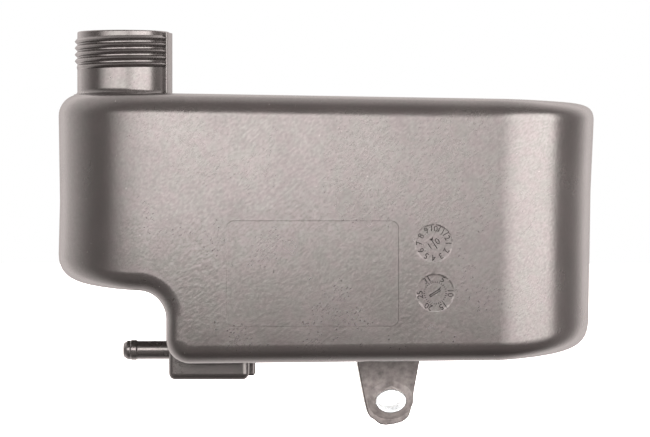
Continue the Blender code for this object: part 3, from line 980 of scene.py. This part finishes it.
def bar(skin, centre, angle, start, end, width, rise=0.12):
    """A thin raised bar on a dial, from the start to the end radius at an angle."""
    turn = math.radians(angle)
    out = Vector((math.sin(turn), 0, math.cos(turn)))
    side = Vector((math.cos(turn), 0, -math.sin(turn)))
    base = Vector((centre[0], -HALF_DEPTH + MARK_DEPTH, centre[1]))
    corners = []
    for distance, way in ((start, -1), (start, 1), (end, 1), (end, -1)):
        corners.append(base + out * distance + side * way * width / 2)
    lift = Vector((0, -rise, 0))
    low = [tuple(corner - lift * 0.2) for corner in corners]
    high = [tuple(corner + lift) for corner in corners]
    skin.loft([low, high], caps=True)


def make_bars(name, mat, bars):
    skin = Skin()
    for values in bars:
        bar(skin, *values)
    dress(new_mesh_object(name, skin.bm), mat)


def make_dials():
    """A month dial and a day dial, each with figures round it and a pointer, its figures, ticks and
    pointer outlines painted near black as painted shade.
    """
    month_dial, day_dial = DIALS
    months = [digits(str(k), month_dial, 6.4, (k - 10) * 30, 3.8) for k in range(1, 13)]
    months.append(digits("0", month_dial, 1.9, 66, 4.0, POINTER_ANGLE))
    months.append(digits("1", month_dial, 2.2, 228, 4.0, POINTER_ANGLE))
    make_figures("dial_months", months)
    labels = (("5", 30), ("10", 90), ("15", 149), ("20", 206), ("25", 263), ("31", 328))
    make_figures("dial_days", [digits(text, day_dial, 6.7, at, 3.7) for text, at in labels])
    ticks = [(day_dial, 360 * k / 31, 4.45, 5.25, 0.26) for k in range(31)]
    make_bars("dial_ticks", dial_shade_mat, ticks)
    pointers = (
        (month_dial, POINTER_ANGLE, -2.9, 2.4, 0.4), (month_dial, POINTER_ANGLE, 1.7, 2.4, 1.1),
        (month_dial, -12, 1.5, 2.9, 0.35), (day_dial, 58, -2.9, 2.6, 1.25),
        (day_dial, 46, 1.6, 3.4, 0.35),
    )
    make_bars("dial_pointers", dial_shade_mat, pointers)
    # The day pointer's middle keeps the tank's plastic inside its painted-shade outline.
    make_bars("dial_pointer_core", tank_mat, [(day_dial, 58, -2.4, 2.2, 0.38, 0.16)])


# ---------------------------------------------------------------- strainer


def wire(skin, path, centre_x, closed):
    """A thin four-sided wire along a path on the strainer, cheap enough to weave by the hundred."""
    rows = []
    for x, y, z in path:
        out = Vector((x - centre_x, y, 0)).normalized()
        side = Vector((0, 0, 1)) if closed else Vector((-out.y, out.x, 0))
        around = (out, side, -out, -side)
        rows.append([tuple(Vector((x, y, z)) + way * WIRE_R) for way in around])
    skin.loft(rows, close_rows=closed)


def make_gauze():
    """Upright and ring wires in the place of the CAD's plain mesh cylinder."""
    low_corner, high_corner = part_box("strainer_mesh")
    centre_x = (low_corner.x + high_corner.x) / 2 / MM
    gauze_r = (high_corner.x - low_corner.x) / 2 / MM - 0.25
    low, high = low_corner.z / MM, high_corner.z / MM
    weave = Skin()
    for k in range(UPRIGHT_WIRES):
        turn = 2 * math.pi * k / UPRIGHT_WIRES
        x, y = centre_x + gauze_r * math.cos(turn), gauze_r * math.sin(turn)
        wire(weave, [(x, y, low), (x, y, high)], centre_x, False)
    for k in range(RING_WIRES):
        z = low + 0.3 + (high - low - 0.6) * k / (RING_WIRES - 1)
        path = []
        for j in range(UPRIGHT_WIRES):
            turn = 2 * math.pi * (j + 0.5) / UPRIGHT_WIRES
            path.append((centre_x + gauze_r * math.cos(turn), gauze_r * math.sin(turn), z))
        wire(weave, path, centre_x, True)
    gauze = dress(new_mesh_object("woven_gauze", weave.bm), gauze_mat, "strainer")
    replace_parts(gauze, "strainer_mesh")


def dress_cage():
    """The strainer's cage keeps its CAD mesh."""
    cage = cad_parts["strainer_frame"]
    cage.data.materials.clear()
    cage.data.materials.append(cage_mat)


# ---------------------------------------------------------------- studio, in metres


def make_floor():
    low_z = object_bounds()[0].z
    half = 6.0
    mesh = bpy.data.meshes.new("floor")
    corners = [(-half, -half, 0), (half, -half, 0), (half, half, 0), (-half, half, 0)]
    mesh.from_pydata(corners, [], [(0, 1, 2, 3)])
    floor = bpy.data.objects.new("floor", mesh)
    bpy.context.scene.collection.objects.link(floor)
    floor.location.z = low_z - 0.0015
    s = Shader("pale_floor")
    s.set("Base Color", s.ramp(s.noise(3, 2), ((0.3, (0.86,) * 3), (0.7, (0.90,) * 3))))
    s.set("Roughness", 0.9)
    s.set("Emission Color", (1, 1, 1))
    s.set("Emission Strength", 0.75)
    mesh.materials.append(s.mat)
    floor.visible_glossy = False
    floor.visible_diffuse = False


def softbox(name, centre, azimuth, sides, heights, strength, fades):
    """An upright glowing panel. Each fade is an axis, where it is dark, and where it is bright."""
    left, right = sides
    low_z, high_z = heights
    mesh = bpy.data.meshes.new(name)
    corners = [(left, 0, low_z), (right, 0, low_z), (right, 0, high_z), (left, 0, high_z)]
    mesh.from_pydata(corners, [], [(0, 1, 2, 3)])
    panel = bpy.data.objects.new(name, mesh)
    bpy.context.scene.collection.objects.link(panel)
    panel.location = (*centre, 0)
    panel.rotation_euler.z = math.radians(azimuth)
    s = Shader(name)
    place = s.split(s.coords)
    glow = strength
    for axis, dark, bright in fades:
        glow = s.math("MULTIPLY", s.span(place[axis], dark, bright, 0.0, 1.0, "SMOOTHSTEP"), glow)
    s.set("Base Color", (0, 0, 0))
    s.set("Emission Color", LIGHT_COLOUR)
    s.set("Emission Strength", glow)
    mesh.materials.append(s.mat)
    panel.visible_camera = False


def light_world():
    """Light from all round, strongest from behind and weak from below. The camera sees it as white."""
    world = bpy.data.worlds.new("studio")
    bpy.context.scene.world = world
    world.use_nodes = True
    n = Nodes(world.node_tree)
    n.tree.nodes.clear()
    towards = n.split(n.add("ShaderNodeTexCoord").outputs["Generated"])
    above = n.math("MAXIMUM", towards["Z"], 0.0)
    below = n.math("MAXIMUM", n.math("MULTIPLY", towards["Z"], -1.0), 0.0)
    lean = n.math("MULTIPLY_ADD", towards["X"], -0.25, towards["Y"])
    lean = n.math("MULTIPLY_ADD", above, 0.5, lean)
    lean = n.math("MULTIPLY_ADD", below, 0.22, lean)
    behind = n.span(lean, 0.0, 0.65, 0.0, 2.3, "SMOOTHSTEP")
    backdrop = n.span(towards["Y"], 0.65, 1.0, 1.0, 0.0, "SMOOTHSTEP")
    around = n.span(towards["Z"], -0.95, -0.45, 0.32, 0.95, "SMOOTHSTEP")
    light = n.add("ShaderNodeBackground")
    n.fill(light.inputs["Color"], LIGHT_COLOUR)
    n.fill(light.inputs["Strength"], n.math("ADD", n.math("MULTIPLY", behind, backdrop), around))
    white = n.add("ShaderNodeBackground")
    n.fill(white.inputs["Color"], (1, 1, 1))
    choose = n.add("ShaderNodeMixShader")
    n.fill(choose.inputs[0], n.add("ShaderNodeLightPath").outputs["Is Camera Ray"])
    n.fill(choose.inputs[1], light.outputs[0])
    n.fill(choose.inputs[2], white.outputs[0])
    n.fill(n.add("ShaderNodeOutputWorld").inputs["Surface"], choose.outputs[0])


def make_camera():
    lens = bpy.data.cameras.new("camera")
    lens.sensor_width = CAMERA_SENSOR
    lens.lens = CAMERA_LENS
    camera = bpy.data.objects.new("camera", lens)
    bpy.context.scene.collection.objects.link(camera)
    camera.location = CAMERA_PLACE
    camera.rotation_euler = (math.radians(90), 0, 0)
    bpy.context.scene.camera = camera
    bpy.context.scene.view_settings.view_transform = "Standard"


make_body()
make_neck()
make_neck_root()
make_thread()
make_land()
make_foot()
make_lug()
make_sleeve()
make_nipple()
make_dials()
make_gauze()
dress_cage()

make_floor()
softbox(
    "front_softbox", (0.0, -0.70), 0, (-1.50, 0.125), (-0.06, 0.40), 16.6,
    (("X", -1.50, -0.30), ("X", 0.26, -0.06), ("Z", -0.058, 0.0), ("Z", 0.37, 0.15)),
)
softbox(
    "right_softbox", (0.626, -0.69), 40, (-0.62, 0.76), (-0.60, 0.75), 18.5,
    (("X", -0.95, -0.16), ("X", 0.74, 0.47), ("Z", -0.45, 0.10), ("Z", 0.75, 0.5)),
)
light_world()
make_camera()
